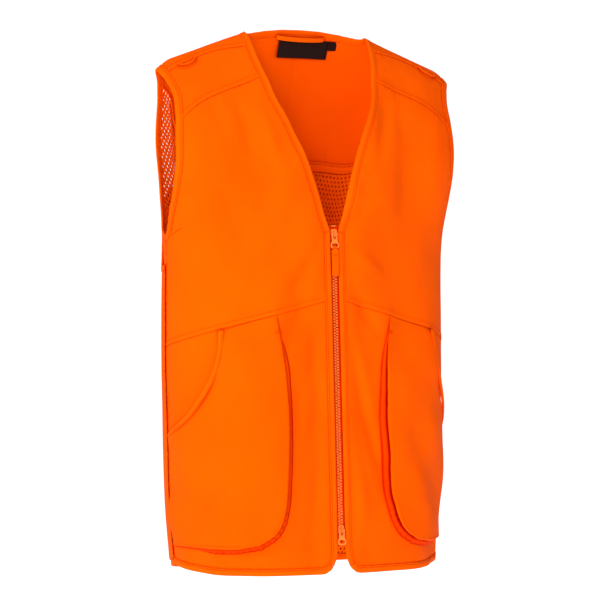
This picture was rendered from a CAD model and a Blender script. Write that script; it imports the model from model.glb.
"""The looks of the blaze orange vest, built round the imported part.

Every cloth piece lies on one body surface, as in the part.  A place on it is an (angle, level) pair:
  angle  0 on the centre line, pi/2 at the wearer's left side, -pi/2 at the right side
  level  -1 at the front hem, 0 at the front chest, 1 on the shoulder line,
         2 at the back chest, 3 at the back hem
Heights are above the front hem; NAPE moves the finished points down into the part's own frame.
"""

import math

import bmesh
import bpy
import numpy as np
from mathutils import Matrix, Vector


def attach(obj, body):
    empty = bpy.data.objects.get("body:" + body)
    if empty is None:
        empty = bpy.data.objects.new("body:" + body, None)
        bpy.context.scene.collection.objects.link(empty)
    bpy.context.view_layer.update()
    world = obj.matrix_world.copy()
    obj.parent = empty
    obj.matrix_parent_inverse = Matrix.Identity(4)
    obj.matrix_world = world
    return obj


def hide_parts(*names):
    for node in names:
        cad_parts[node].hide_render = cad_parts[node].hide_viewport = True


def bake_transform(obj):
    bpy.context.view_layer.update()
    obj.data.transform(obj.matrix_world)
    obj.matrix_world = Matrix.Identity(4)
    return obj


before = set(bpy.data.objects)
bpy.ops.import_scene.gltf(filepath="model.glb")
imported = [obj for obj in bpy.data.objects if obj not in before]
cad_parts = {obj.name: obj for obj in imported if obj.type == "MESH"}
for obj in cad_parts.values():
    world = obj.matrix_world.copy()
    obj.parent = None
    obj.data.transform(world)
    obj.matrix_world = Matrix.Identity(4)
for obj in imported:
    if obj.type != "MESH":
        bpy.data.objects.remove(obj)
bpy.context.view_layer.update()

# ---- dimensions shared with the part, in metres ----
SIDE = math.pi / 2
NECK_HEIGHT = 0.731
NAPE = np.array([0, 0, NECK_HEIGHT])
CHEST_HEIGHT = 0.458
SHOULDER_MEAN = 0.700
HEM_DEPTH = 0.1211
FRONT_FLARE = 0.058
ZIP_ZONE = 0.49
FRONT_LEAN = 1.5
BACK_LEAN = 1.4
HALF_WIDTH = (
    (0.0, 0.190), (0.10, 0.199), (0.30, 0.2045), (0.45, 0.2050),
    (0.50, 0.2095), (0.55, 0.2180), (0.60, 0.2240), (0.76, 0.2265),
)
ZIP_ZONE_DEPTH = HEM_DEPTH - FRONT_FLARE * ZIP_ZONE
FRONT_DEPTH = ((0.0, HEM_DEPTH), (ZIP_ZONE, ZIP_ZONE_DEPTH), (0.60, 0.089), (0.70, 0.074))
BACK_DEPTH = (
    (0.0, 0.108), (0.20, 0.100), (0.35, 0.097), (0.50, 0.094),
    (0.60, 0.090), (0.66, 0.076), (0.70, 0.062),
)
SQUARENESS = (
    (0.0, 2.1), (0.35, 2.05), (0.46, 2.0), (0.51, 2.5), (0.56, 3.1), (0.60, 3.4), (0.76, 3.5),
)
SMOOTHING = (-0.03, -0.015, 0.0, 0.015, 0.03)
SHOULDER_LINE = (
    (0.0, 0.757), (0.03, 0.755), (0.06, 0.746), (0.0898, 0.731),
    (0.15, 0.7085), (0.205, 0.6875), (0.2215, 0.672), (0.24, 0.64),
)
SHOULDER_SMOOTHING = (-0.006, -0.003, 0.0, 0.003, 0.006)
BINDING_WIDTH = 0.0085
LAYER = 0.0026
FRONT_EDGE = 0.0055
ZIP_TOP = 0.457
CORNER_WIDTH = 0.021
CORNER_HEIGHT = 0.036
SIDE_HEM = 0.010
BACK_HEM = -0.008
WAIST_AT_CENTRE = 0.368
WAIST_AT_SIDE = 0.303
WAIST_DROP = 1.43
WAIST_BEND = 0.3
ARMPIT = 0.4525
NECK_HALF_WIDTH = 0.0898
BACK_NECK_DEPTH = 0.020
SEAM_TAPE_WIDTH = 0.028
SEAM_TAPE_BOW = 0.0006
TAPE_THICKNESS = 0.0012
ALLOWANCE_HALF = 0.007
ALLOWANCE_LIFT = -0.0014
GAME_POCKET_TOP = 1.72
GAME_POCKET_FALL = 0.245
GAME_POCKET_TURN = 0.74
GAME_POCKET_BEND = 3.2
GAME_POCKET_SIDE = 2.10
GAME_POCKET_FULL = 0.0020
GAME_POCKET_TALL = 0.40
YOKE_MIDDLE = (0.160, 0.636)
FORWARD_MIDDLE = (0.150, 0.6985)
SHOULDER_TIP = (math.radians(63), 1.0)
BACK_SEAM = (
    (0.0, 0.5600), (0.060, 0.5590), (0.110, 0.5570), (0.150, 0.5760), (0.175, 0.6100), (0.186, 0.640),
)
BACK_SPLIT = math.radians(18)
HEM_RISE_FROM = 0.4
V_EDGE = ((0.0055, 0.457), (0.0150, 0.485), (0.0345, 0.552), (0.0678, 0.630), (0.0795, 0.668))
V_TOP = ((0.0795, 0.668), (0.0850, 0.692), (0.0880, 0.7115))
ARMHOLE_FRONT = ((90, 0.4525), (86, 0.458), (79.4, 0.483), (69, 0.515), (59.6, 0.555), (54, 0.607))
ARMHOLE_TOP_FRONT = ((54, 0.607), (53.5, 0.637), (57, 0.660), (58.6, 0.664))
ARMHOLE_TOP_BACK = ((57.5, 0.660), (56, 0.650))
ARMHOLE_BACK = (
    (56, 0.650), (54, 0.630), (53.5, 0.600), (54.5, 0.560),
    (58.5, 0.525), (66.5, 0.492), (77, 0.465), (90, 0.4525),
)
POCKET_INNER = (
    (0.084, 0.3445), (0.079, 0.313), (0.075, 0.271), (0.0716, 0.200), (0.0745, 0.120), (0.0797, 0.080),
)
POCKET_CORNER = ((0.0797, 0.080), (0.0905, 0.056), (0.111, 0.041), (0.135, 0.0365))
POCKET_HAND = (
    (0.156, 0.3245), (0.158, 0.292), (0.1655, 0.262), (0.178, 0.233), (0.1915, 0.208),
)
POCKET_BOTTOM = 0.035
POCKET_HAND_LOW = 0.186
POCKET_FLAT = 0.0030
POCKET_FULL = 0.0125
FULL_FROM = 0.335
FULL_OVER = 0.110
FULL_BEND = 0.8
FULL_TURN_FROM = 0.2
FULL_TURN_OVER = 0.55
HAND_BINDING = 0.0065
SIDE_CLEAR = 0.03

# ---- fineness of the visual meshes ----
CLOTH = 0.0010
PANEL_STEP = 0.0032
SEAM_STEPS = (0.0, 0.0007, 0.0015, 0.0026, 0.0042)
SPLINE_STEPS = 12
LINE_POINTS = 160
ACROSS_POINTS = 60
WELD = 1e-5


# ---- small helpers ----
def unit(vectors):
    """The vectors at length 1, along their last axis."""
    return vectors / np.maximum(np.linalg.norm(vectors, axis=-1, keepdims=True), 1e-12)


def bell(value, width):
    """1 at zero, falling smoothly to nothing a few widths away."""
    return np.exp(-((value / width) ** 2))


def smooth(value):
    value = np.clip(value, 0, 1)
    return value * value * (3 - 2 * value)


def squared(sine, cosine, square):
    """Radius of a rounded square in the direction with this sine and cosine."""
    return (np.abs(sine) ** square + np.abs(cosine) ** square) ** (-1 / square)


def running(points, axis):
    """Distance along the rows or columns of a grid of points."""
    gaps = np.linalg.norm(np.diff(points, axis=axis), axis=-1)
    zero = np.zeros_like(np.take(gaps, [0], axis=axis))
    return np.concatenate([zero, np.cumsum(gaps, axis=axis)], axis=axis)


def unchanged(patch):
    return patch


def mirrored(patch):
    return patch * np.array([-1.0, 1.0])


def turned(faces, sign):
    """The faces, turned round where the piece is mirrored."""
    return faces if sign > 0 else [f[::-1] for f in faces]


# ---- the body surface ----
def profile(value, knots, spread):
    at, size = zip(*knots)
    return sum(np.interp(value + shift, at, size) for shift in spread) / len(spread)


def shoulder_height(x):
    return profile(np.abs(x), SHOULDER_LINE, SHOULDER_SMOOTHING)


def body(angle, level):
    angle = np.asarray(angle, float)
    level = np.asarray(level, float)
    back = level > 1
    climb = np.where(back, 2 - level, level)
    upright = np.cos(np.clip(climb, 0, 1) * math.pi / 2)
    rise = np.sqrt(1 - upright ** np.where(back, BACK_LEAN, FRONT_LEAN))
    base = CHEST_HEIGHT * (1 + np.minimum(climb, 0))
    height = base + (SHOULDER_MEAN - CHEST_HEIGHT) * rise
    square = profile(height, SQUARENESS, SMOOTHING)
    front_depth = profile(height, FRONT_DEPTH, SMOOTHING)
    depth = np.where(back, profile(height, BACK_DEPTH, SMOOTHING), -front_depth)
    radius = squared(np.sin(angle), np.cos(angle), square)
    x = profile(height, HALF_WIDTH, SMOOTHING) * radius * np.sin(angle)
    y = depth * radius * np.abs(np.cos(angle)) * upright
    return np.stack([x, y, base + (shoulder_height(x) - CHEST_HEIGHT) * rise], axis=-1)


def slopes(angle, level):
    step = 1e-4
    angle = np.clip(angle, -SIDE + 3 * step, SIDE - 3 * step)
    by_angle = (body(angle + step, level) - body(angle - step, level)) / (2 * step)
    by_level = (body(angle, level + step) - body(angle, level - step)) / (2 * step)
    return by_angle, by_level


def outward(angle, level):
    return unit(np.cross(*slopes(angle, level)))


def level_at(x, height, back):
    if height <= CHEST_HEIGHT:
        climb = height / CHEST_HEIGHT - 1
    else:
        rise = min((height - CHEST_HEIGHT) / (shoulder_height(x) - CHEST_HEIGHT), 1.0)
        upright = (1 - rise**2) ** (1 / (BACK_LEAN if back else FRONT_LEAN))
        climb = math.acos(upright) * 2 / math.pi
    return 2 - climb if back else climb


def at_distance(x, height, back=False):
    square = profile(height, SQUARENESS, SMOOTHING)
    share = min(x / profile(height, HALF_WIDTH, SMOOTHING), 1.0)
    return math.atan2(share, (1 - share**square) ** (1 / square)), level_at(x, height, back)


def at_degrees(degrees, height, back=False):
    angle = math.radians(degrees)
    radius = squared(math.sin(angle), math.cos(angle), profile(height, SQUARENESS, SMOOTHING))
    x = profile(height, HALF_WIDTH, SMOOTHING) * radius * math.sin(angle)
    return angle, level_at(x, height, back)


def back_neck(turn):
    x = NECK_HALF_WIDTH * math.cos(turn)
    angle, _ = at_distance(x, SHOULDER_MEAN)
    reach = body(angle, 2.0)[1]
    upright = BACK_NECK_DEPTH * math.sin(turn) / reach
    return angle, 2 - math.acos(upright) * 2 / math.pi


# ---- lines on the surface, as arrays of (angle, level) ----
def spline(points):
    """A smooth curve through the points."""
    points = np.array(points, float)
    ends = np.vstack([2 * points[0] - points[1], points, 2 * points[-1] - points[-2]])
    line = [points[0]]
    for a, b, c, d in zip(ends, ends[1:], ends[2:], ends[3:]):
        for t in np.linspace(0, 1, SPLINE_STEPS + 1)[1:]:
            bend = 2 * b + (c - a) * t + (2 * a - 5 * b + 4 * c - d) * t**2
            line.append((bend + (3 * b - a - 3 * c + d) * t**3) / 2)
    return np.array(line)


def run_of(line):
    """Distance along a line, measured on the surface."""
    return running(body(line[:, 0], line[:, 1]), 0)


def at_run(line, wanted):
    run = run_of(line)
    return np.stack([np.interp(wanted, run, line[:, k]) for k in (0, 1)], axis=1)


def evenly(line, count):
    return at_run(line, np.linspace(0, run_of(line)[-1], count + 1))


def straight(start, end, count):
    return np.linspace(start, end, count + 1)


def chain(*lines):
    return np.vstack([lines[0]] + [line[1:] for line in lines[1:]])


def offset(line, distance):
    """The line moved sideways over the surface, to its left when seen from outside."""
    angle, level = line[:, 0], line[:, 1]
    along = np.gradient(body(angle, level), axis=0)
    side = np.cross(outward(angle, level), along)
    side *= np.reshape(distance, (-1, 1)) / np.linalg.norm(side, axis=1, keepdims=True)
    moved = []
    for place, by_angle, by_level, shift in zip(line, *slopes(angle, level), side):
        change = np.linalg.lstsq(np.stack([by_angle, by_level], axis=1), shift, rcond=None)[0]
        moved.append(place + change)
    return np.array(moved)


def spaced(length):
    """Shares from 0 to 1 along a length, close together near both ends, where the seams are."""
    near = [s for s in SEAM_STEPS if s < length * 0.3]
    count = max(int(round((length - 2 * near[-1]) / PANEL_STEP)), 1)
    inner = np.linspace(near[-1], length - near[-1], count + 1)
    return np.concatenate([near[:-1], inner, length - np.array(near[:-1])[::-1]]) / length


def at_share(line, shares):
    return at_run(line, shares * run_of(line)[-1])


def mean_run(first, second):
    return (run_of(first)[-1] + run_of(second)[-1]) / 2


def coons(bottom, top, left, right, s=None, t=None):
    """A patch of (angle, level) places between its four border lines, at the shares s and t."""
    s = spaced(mean_run(bottom, top)) if s is None else s
    t = spaced(mean_run(left, right)) if t is None else t
    bottom, top = at_share(bottom, s), at_share(top, s)
    left, right = at_share(left, t), at_share(right, t)
    s, t = s[None, :, None], t[:, None, None]
    across = (1 - t) * bottom[None] + t * top[None]
    upward = (1 - s) * left[:, None] + s * right[:, None]
    low, high = (1 - s) * bottom[0] + s * bottom[-1], (1 - s) * top[0] + s * top[-1]
    return across + upward - ((1 - t) * low + t * high)


def waist_height(angle):
    share = np.abs(angle) / SIDE
    drop = WAIST_DROP * (WAIST_AT_CENTRE - WAIST_AT_SIDE)
    return WAIST_AT_CENTRE - drop * share * (1 - WAIST_BEND * share)


def hem_height(angle):
    share = max(abs(angle) / SIDE - HEM_RISE_FROM, 0) / (1 - HEM_RISE_FROM)
    return SIDE_HEM * share**2


def front_level(height):
    return height / CHEST_HEIGHT - 1


def marks_of(parts):
    """Where each part starts in their chain, and where the last one ends."""
    return np.concatenate([[0], np.cumsum([len(part) - 1 for part in parts])])


def smooth_line(places, count):
    return evenly(spline(places), count)


def at_distances(places, back=False):
    return [at_distance(*place, back=back) for place in places]


class Lines:
    """The border lines of the left half, as in the part but with many more points."""

    def __init__(self):
        n = LINE_POINTS
        corner = [
            (FRONT_EDGE + CORNER_WIDTH * (1 - math.cos(turn)), CORNER_HEIGHT * (1 - math.sin(turn)))
            for turn in np.radians([90, 67, 45, 22, 0])
        ]
        hem_angles = np.linspace(SIDE, at_distance(*corner[0])[0], n)
        hem = np.array([(angle, front_level(hem_height(angle))) for angle in hem_angles])
        hem_line = chain(hem, smooth_line(at_distances(corner[:3]), n // 8))
        seam_height = waist_height(at_distance(FRONT_EDGE, WAIST_AT_CENTRE)[0])
        low = at_distances(corner[2:])
        low_edge = straight(low[-1], at_distance(FRONT_EDGE, seam_height), n)
        low_line = chain(smooth_line(low, n // 8), low_edge)
        up = straight(low_line[-1], at_distance(FRONT_EDGE, ZIP_TOP), n // 4)
        v_line = smooth_line(at_distances(V_EDGE), n // 2)
        top_line = smooth_line(at_distances(V_TOP), n // 6)
        over = [tuple(top_line[-1])] + [back_neck(turn) for turn in np.radians([0, 22, 45])]
        nape = [back_neck(turn) for turn in np.radians([45, 68, 90])]
        parts = [hem_line, low_line, up, v_line, top_line]
        parts += [smooth_line(over, n // 4), smooth_line(nape, n // 4)]
        self.edge = chain(*parts)
        self.marks = marks_of(parts)
        self.edge_in = offset(self.edge, -BINDING_WIDTH)
        self.edge_in[0, 0] = SIDE
        self.edge_in[-1, 0] = 0.0
        self.armholes(n)
        self.seams(n)

    def edge_part(self, first, last, inside=True):
        line = self.edge_in if inside else self.edge
        return line[self.marks[first] : self.marks[last] + 1]

    def armholes(self, n):
        front = smooth_line([at_degrees(*p) for p in ARMHOLE_FRONT], n // 2)
        top = smooth_line([at_degrees(*p) for p in ARMHOLE_TOP_FRONT], n // 6)
        tip = [tuple(top[-1]), SHOULDER_TIP]
        tip += [at_degrees(*p, back=True) for p in ARMHOLE_TOP_BACK]
        over = smooth_line(tip, n // 4)
        back = smooth_line([at_degrees(*p, back=True) for p in ARMHOLE_BACK], n // 2)
        parts = (front, top, over, back)
        self.arm = chain(*parts)
        self.arm_marks = marks_of(parts)
        self.arm_in = offset(self.arm, BINDING_WIDTH)
        lowered = front_level(ARMPIT - BINDING_WIDTH)
        self.arm_in[0] = (SIDE, lowered)
        self.arm_in[-1] = (SIDE, 2 - lowered)

    def arm_part(self, first, last):
        return self.arm_in[self.arm_marks[first] : self.arm_marks[last] + 1]

    def seams(self, n):
        start = self.edge_in[self.marks[2]]
        angles = np.linspace(start[0], SIDE, n)
        self.waist = np.array([(a, front_level(waist_height(a))) for a in angles])
        self.waist[0] = start
        self.yoke = self.crossing(self.edge_in[self.marks[4]], YOKE_MIDDLE, self.arm_part(1, 1)[0], n)
        shoulder, tip = self.edge_in[self.marks[5]], self.arm_part(2, 2)[0]
        self.forward = self.crossing(shoulder, FORWARD_MIDDLE, tip, n)
        self.side_low = straight(self.edge_in[0], self.waist[-1], n // 2)
        self.side_high = straight(self.waist[-1], self.arm_in[0], n // 4)
        places = at_distances(BACK_SEAM, back=True) + [tuple(self.arm_part(3, 3)[0])]
        whole = smooth_line(places, n)
        cut = int(np.argmin(np.abs(whole[:, 0] - BACK_SPLIT)))
        self.back_seam_mid = whole[: cut + 1]
        self.back_seam_side = whole[cut:]
        self.back_seam = whole
        share = np.linspace(0, 1, n)
        height = BACK_HEM + (SIDE_HEM - BACK_HEM) * share**2
        self.back_hem = np.stack([share * SIDE, 3 - height / CHEST_HEIGHT], axis=1)
        self.back_hem_in = self.back_hem - np.array([0, BINDING_WIDTH / CHEST_HEIGHT])
        self.back_hem_in[-1, 1] = 2 - self.edge_in[0, 1]

    def crossing(self, start, middle, end, count):
        return smooth_line([tuple(start), at_distance(*middle), tuple(end)], count)


lines = Lines()


# ---- relief of the cloth: soft waves all over, and the folds that show ----
def make_waves(seed, count, wavelength, upright):
    """Random waves: (wave vectors, phases), longer up and down than across when upright is small."""
    rng = np.random.default_rng(seed)
    turn = rng.uniform(0, 2 * math.pi, count)
    climb = rng.uniform(-1, 1, count) * upright
    length = wavelength * rng.uniform(0.7, 1.5, count)
    vectors = np.stack([np.cos(turn), np.sin(turn), climb], axis=1) * (2 * math.pi / length)[:, None]
    return vectors, rng.uniform(0, 2 * math.pi, count)


def waves(points, made):
    vectors, phases = made
    return np.sin(points @ vectors.T + phases).sum(axis=-1) / math.sqrt(len(phases) / 2)


# (height of the waves, the waves) for the broad, soft and fine unevenness of worn cloth.
WAVES = (
    (0.0024, make_waves(3, 14, 0.150, 0.5)),
    (0.0010, make_waves(5, 16, 0.060, 0.6)),
    (0.00014, make_waves(8, 18, 0.022, 1.0)),
)
POCKET_WAVES = make_waves(12, 12, 0.085, 1.0)

# Folds as (x1, height1, x2, height2, half width, height), on the front (y < 0).
FRONT_FOLDS = (
    (-0.012, 0.445, -0.075, 0.360, 0.009, -0.0034),
    (-0.010, 0.430, -0.050, 0.330, 0.010, 0.0029),
    (-0.016, 0.400, -0.110, 0.240, 0.014, -0.0038),
    (-0.020, 0.330, -0.075, 0.160, 0.012, -0.0042),
    (-0.035, 0.330, -0.060, 0.120, 0.011, 0.0038),
    (-0.018, 0.200, -0.045, 0.030, 0.010, -0.0038),
    (0.012, 0.440, 0.075, 0.395, 0.010, 0.0029),
    (0.012, 0.462, 0.060, 0.500, 0.008, -0.0034),
    (0.014, 0.475, 0.050, 0.540, 0.007, 0.0029),
    (0.014, 0.400, 0.070, 0.310, 0.010, -0.0032),
    (0.020, 0.350, 0.060, 0.170, 0.010, 0.0034),
    (0.022, 0.300, 0.070, 0.110, 0.009, -0.0042),
    (0.018, 0.190, 0.034, 0.060, 0.010, 0.0038),
    (-0.100, 0.640, -0.075, 0.540, 0.010, 0.0027),
    (-0.125, 0.640, -0.110, 0.560, 0.010, -0.0025),
    (-0.060, 0.560, -0.090, 0.430, 0.016, 0.0029),
    (0.110, 0.650, 0.095, 0.560, 0.010, 0.0027),
    (0.090, 0.630, 0.070, 0.540, 0.009, -0.0029),
    (0.130, 0.600, 0.100, 0.450, 0.014, -0.0029),
    (-0.150, 0.520, -0.100, 0.380, 0.018, -0.0029),
)


FOLD_SCALE = 1.25
FRONT_FADE = 0.03
CALM_FROM, CALM_OVER, CALMEST = 0.72, 0.10, 0.15
ZIP_CALM_FROM, ZIP_CALM_OVER = 0.012, 0.026
SIDE_CALM_FROM, SIDE_CALM_OVER, SIDE_CALM = 0.150, 0.040, 0.75
BACK_CALM = 0.6


def fold_height(points, folds):
    total = np.zeros(points.shape[:-1])
    place = points[..., [0, 2]]
    for x1, h1, x2, h2, width, height in folds:
        start, end = np.array([x1, h1]), np.array([x2, h2])
        along = end - start
        share = np.clip(((place - start) @ along) / (along @ along), -0.2, 1.2)
        away = np.linalg.norm(place - start - share[..., None] * along, axis=-1)
        total += height * bell(away, width) * np.clip(1.2 - np.abs(2 * share - 1), 0, 1)
    return total


def relief(points):
    """How far the worn cloth stands off the body surface, at points with heights above the hem."""
    front = np.clip(-points[..., 1] / FRONT_FADE, 0, 1)
    calm = np.clip((CALM_FROM - points[..., 2]) / CALM_OVER, CALMEST, 1)
    soft = sum(size * waves(points, made) for size, made in WAVES)
    beside = np.abs(points[..., 0])
    near_zip = smooth((beside - ZIP_CALM_FROM) / ZIP_CALM_OVER) * front + (1 - front)
    near_side = 1 - SIDE_CALM * smooth((beside - SIDE_CALM_FROM) / SIDE_CALM_OVER)
    soft = soft * calm * near_zip * near_side * (BACK_CALM + (1 - BACK_CALM) * front)
    return soft + FOLD_SCALE * fold_height(points, FRONT_FOLDS) * front * near_zip


def surface(patch, lift=0.0):
    """Finished points of a patch, in the part's frame, a distance off the body surface."""
    angle, level = patch[..., 0], patch[..., 1]
    points = body(angle, level)
    height = np.asarray(lift + relief(points))
    return points + outward(angle, level) * height[..., None] - NAPE


TOPSTITCH_IN = 0.0060
LAP = 0.0007
PUCKER_REACH = 0.008


def lapped(away):
    """Height of a piece whose turned-under edge lies on top at a seam, topstitched near it."""
    raised = LAP * (1 - smooth((away - 0.0056) / 0.0030))
    return raised - 0.0002 * bell(away, 0.0006) - 0.00045 * bell(away - TOPSTITCH_IN, 0.0007)


def lying_under(away):
    """A piece whose edge lies under the next one at a seam."""
    return -0.0003 * bell(away, 0.0018)


def tucked(away):
    """A piece that goes into a binding."""
    return -0.0007 * bell(away, 0.0022)


def pucker(away, along, size=0.00032):
    """Small uneven gathers beside a sewn line."""
    wave = np.sin(along * 610 + 1.7 * np.sin(along * 143))
    wave = wave + 0.6 * np.sin(along * 1130 + 2 * np.sin(along * 97))
    return size * wave * np.exp(-away / PUCKER_REACH)


def borders(patch, rules):
    """Relief near the borders of a patch: rules has a height function for each sewn border."""
    points = body(patch[..., 0], patch[..., 1])
    up, across = running(points, 0), running(points, 1)
    away = {"bottom": up, "top": up[-1:] - up, "left": across, "right": across[:, -1:] - across}
    along = {"bottom": across, "top": across, "left": up, "right": up}
    total = np.zeros(points.shape[:-1])
    for side, rule in rules.items():
        total += rule(away[side]) + pucker(away[side], along[side])
    return total


# ---- cloth coordinates in metres, for the weave ----
TABLE_ANGLES = np.linspace(0, SIDE, 200)
TABLE_LEVELS = np.linspace(-1, 3, 400)
AROUND = running(body(TABLE_ANGLES, np.zeros_like(TABLE_ANGLES)), 0)
UPWARD = running(body(np.full_like(TABLE_LEVELS, 0.5), TABLE_LEVELS), 0)


def weave_place(patch):
    angle, level = patch[..., 0], patch[..., 1]
    u = np.sign(angle) * np.interp(np.abs(angle), TABLE_ANGLES, AROUND)
    return np.stack([u, np.interp(level, TABLE_LEVELS, UPWARD)], axis=-1)


# ---- building objects ----
SMOOTH_ANGLE = math.radians(50)


def in_scene(name, data):
    obj = bpy.data.objects.new(name, data)
    bpy.context.scene.collection.objects.link(obj)
    return obj


def finish_mesh(name, verts, faces, looks, uvs=None, weld=0.0):
    mesh = bpy.data.meshes.new(name)
    points = [tuple(v) for v in np.asarray(verts, float)]
    mesh.from_pydata(points, [], [tuple(int(i) for i in f) for f in faces])
    if uvs is not None:
        layer = mesh.uv_layers.new(name="weave")
        index = np.empty(len(mesh.loops), np.int32)
        mesh.loops.foreach_get("vertex_index", index)
        layer.data.foreach_set("uv", np.asarray(uvs, np.float32)[index].ravel())
    if weld:
        shape = bmesh.new()
        shape.from_mesh(mesh)
        bmesh.ops.remove_doubles(shape, verts=shape.verts, dist=weld)
        shape.to_mesh(mesh)
        shape.free()
    mesh.shade_smooth()
    mesh.materials.append(looks)
    return in_scene(name, mesh)


def grid_faces(rows, columns, start=0):
    corner = np.arange(rows - 1)[:, None] * columns + np.arange(columns - 1)[None] + start
    around = [corner, corner + 1, corner + columns + 1, corner + columns]
    return np.stack(around, axis=-1).reshape(-1, 4)


def thicken(obj, thickness):
    shell = obj.modifiers.new("thickness", "SOLIDIFY")
    shell.thickness = thickness
    shell.offset = 0.0
    shell.use_even_offset = False


def cloth(name, patches, looks, lifts, thickness=CLOTH):
    """One cloth piece from patches of the body surface, each with its lift, welded and thickened."""
    verts, faces, uvs, start = [], [], [], 0
    for patch, lift in zip(patches, lifts):
        verts.append(surface(patch, lift).reshape(-1, 3))
        uvs.append(weave_place(patch).reshape(-1, 2))
        faces.append(grid_faces(patch.shape[0], patch.shape[1], start))
        start += len(verts[-1])
    obj = finish_mesh(name, np.vstack(verts), np.vstack(faces), looks, np.vstack(uvs), WELD)
    thicken(obj, thickness)
    return obj


def on(obj, body_name, slot, *nodes):
    """The piece rides on a body, takes a material slot and stands for these CAD nodes."""
    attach(obj, body_name)
    if nodes:
        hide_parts(*nodes)
    return obj


def loft(rings, capped=True):
    """Vertices and faces of a tube through rings of points, each ring with the same count."""
    rings = np.asarray(rings, float)
    count, size = rings.shape[:2]
    faces = []
    for k in range(count - 1):
        for j in range(size):
            a, b = k * size + j, k * size + (j + 1) % size
            faces.append((a, b, b + size, a + size))
    if capped:
        faces.append(tuple(range(size))[::-1])
        faces.append(tuple(range((count - 1) * size, count * size)))
    return rings.reshape(-1, 3), faces


# A folded binding in section: (share of its width from the free edge, share of half its thickness).
BINDING_SIDE = (
    (0.0, 0.0), (0.03, 0.62), (0.10, 0.95), (0.30, 1.06), (0.55, 1.02), (0.74, 0.95),
    (0.82, 0.55), (0.90, 1.0), (1.03, 0.95), (1.07, 0.10),
)


BINDING_THICKNESS = 0.0024
BINDING_STEP = 0.0028


def binding(name, free_edge, inner, lift=0.0, thickness=BINDING_THICKNESS, flip=unchanged, seed=0.0):
    """A folded strip sewn over an edge: a closed band with a rounded edge and a stitched groove."""
    run = run_of(inner)
    along = np.linspace(0, 1, int(run[-1] / BINDING_STEP) + 1) * run[-1]
    start, end = (
        flip(np.stack([np.interp(along, run, line[:, k]) for k in (0, 1)], axis=1))
        for line in (free_edge, inner)
    )
    lift = np.interp(along, run, np.broadcast_to(lift, len(inner)))
    ripple = np.sin(along * 820 + seed + 1.3 * np.sin(along * 210))
    swell = 1 + 0.10 * ripple * np.sin(along * 57 + seed)
    section = list(BINDING_SIDE) + [(w, -h) for w, h in BINDING_SIDE[-2:0:-1]]
    rings, places = [], []
    for width, height in section:
        patch = start * (1 - width) + end * width
        rings.append(surface(patch, lift + height * thickness / 2 * swell))
        places.append(weave_place(patch))
    verts, faces = loft(np.stack(rings, axis=1))
    uvs = np.stack(places, axis=1).reshape(-1, 2)
    return finish_mesh(name, verts, faces, tape_orange, uvs)


STITCH_PITCH = 0.0031
STITCH_LENGTH = 0.0023
THREAD = 0.00024
# A stitch has three rings of four points: (share of its length, rise, size), in thread radii.
STITCH = ((0.0, -0.3, 0.6), (0.5, 1.0, 1.0), (1.0, -0.3, 0.6))
TACK_STITCH = ((0.0, -1.0, 0.9), (0.5, 1.0, 1.3), (1.0, -1.0, 0.9))


def thread_ring(centre, side, normal, radius):
    side, normal = side * radius, normal * radius
    return np.stack([centre + side, centre + normal, centre - side, centre - normal], axis=-2)


def stitch_row(line, lift, flip=unchanged):
    """Rings of points for the stitches along a line on the body surface."""
    run = run_of(line)
    count = int(run[-1] / STITCH_PITCH)
    starts = (np.arange(count) + 0.2) * run[-1] / count
    height = np.interp(starts, run, np.broadcast_to(lift, len(run)))
    rings = []
    for share, rise, size in STITCH:
        patch = flip(at_run(line, starts + share * STITCH_LENGTH))
        nearby = flip(at_run(line, starts + share * STITCH_LENGTH + 1e-4))
        centre = surface(patch, height + rise * THREAD)
        normal = outward(patch[:, 0], patch[:, 1])
        side = unit(np.cross(normal, surface(nearby, height + rise * THREAD) - centre))
        rings.append(thread_ring(centre, side, normal, THREAD * size))
    return np.stack(rings, axis=1)


def stitching(name, rows, looks):
    """One object holding every stitch of several rows."""
    rings = np.concatenate(rows)
    quads = []
    for ring in (0, 4):
        for j in range(4):
            k = (j + 1) % 4
            quads.append((ring + j, ring + k, ring + 4 + k, ring + 4 + j))
    quads += [(3, 2, 1, 0), (8, 9, 10, 11)]
    faces = (np.array(quads)[None] + 12 * np.arange(len(rings))[:, None, None]).reshape(-1, 4)
    return finish_mesh(name, rings.reshape(-1, 3), faces, looks)


# ---- materials ----
DEEP = (0.60, 0.003, 0.0)
DEEP_PLASTIC = (0.60, 0.006, 0.0)
NEAR_BLACK = (0.006, 0.004, 0.004)
CREVICE = 0.011
SLUB_SCALE = 900.0
TONE_SCALE = 9.0
WEAVE_BUMP = 0.35
MOTTLE_SCALE = 700.0
MOTTLE_BUMP = (0.08, 0.0002)


def node_material(name):
    made = bpy.data.materials.new(name)
    made.use_nodes = True
    tree = made.node_tree
    return made, tree.nodes, tree.links, tree.nodes["Principled BSDF"]


def noise_node(nodes, links, place, scale, detail):
    node = nodes.new("ShaderNodeTexNoise")
    node.inputs["Scale"].default_value = scale
    node.inputs["Detail"].default_value = detail
    links.new(place, node.inputs["Vector"])
    return node.outputs["Fac"]


def ramp_node(nodes, links, mixing, dark, light, ends=(0.0, 1.0)):
    node = nodes.new("ShaderNodeValToRGB")
    for element, position, colour in zip(node.color_ramp.elements, ends, (dark, light)):
        element.position = position
        element.color = (*colour, 1)
    links.new(mixing, node.inputs["Fac"])
    return node.outputs["Color"]


def bumpy(nodes, links, shader, height, strength, distance):
    node = nodes.new("ShaderNodeBump")
    node.inputs["Strength"].default_value = strength
    node.inputs["Distance"].default_value = distance
    links.new(height, node.inputs["Height"])
    links.new(node.outputs["Normal"], shader.inputs["Normal"])


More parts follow.
